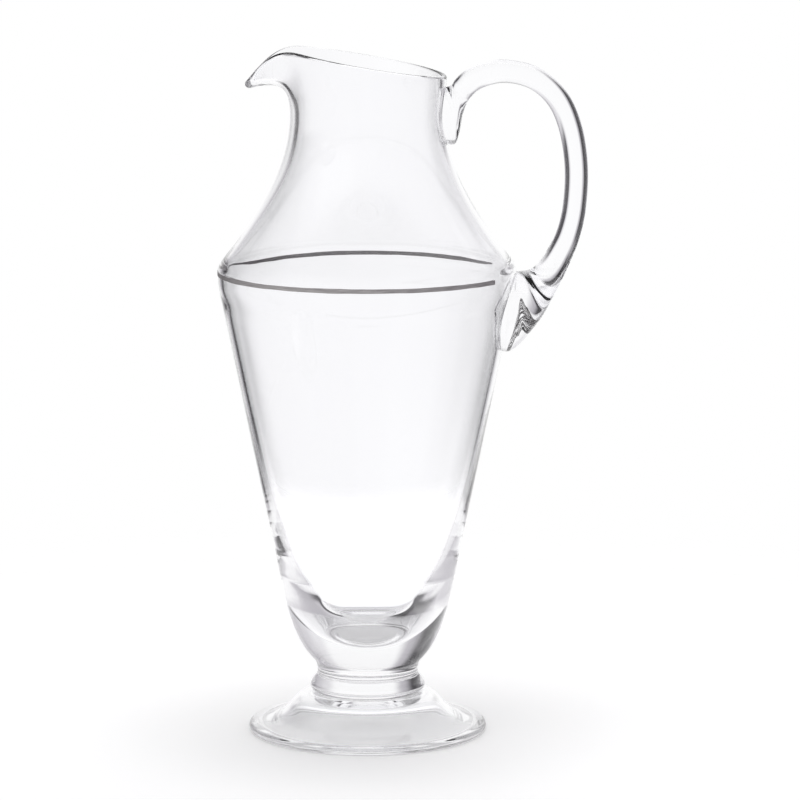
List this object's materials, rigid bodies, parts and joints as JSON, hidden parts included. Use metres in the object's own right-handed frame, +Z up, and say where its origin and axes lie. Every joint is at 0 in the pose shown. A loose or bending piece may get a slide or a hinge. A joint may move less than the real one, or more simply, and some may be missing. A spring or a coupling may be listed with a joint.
{
  "type": "water pitcher",
  "caption": "Footed clear glass water pitcher with a pulled spout, an applied loop handle, a bead stem and a silver line round its shoulder.",
  "frame": {"origin": "centre of the foot's resting ring, in the plane of the table, on the axis of the bowl", "axes": "+Z up, +X towards the handle, -X towards the spout"},
  "size_m": [0.1656, 0.134, 0.3088],
  "materials": {
    "clear_glass": "clear, fire polished",
    "fired_silver": "satin silver, painted by hand and fired on"
  },
  "bodies": {
    "root": {"bowl": "clear_glass", "stem_bead": "clear_glass", "foot": "clear_glass", "handle": "clear_glass", "silver_line": "fired_silver"}
  },
  "joints": []
}
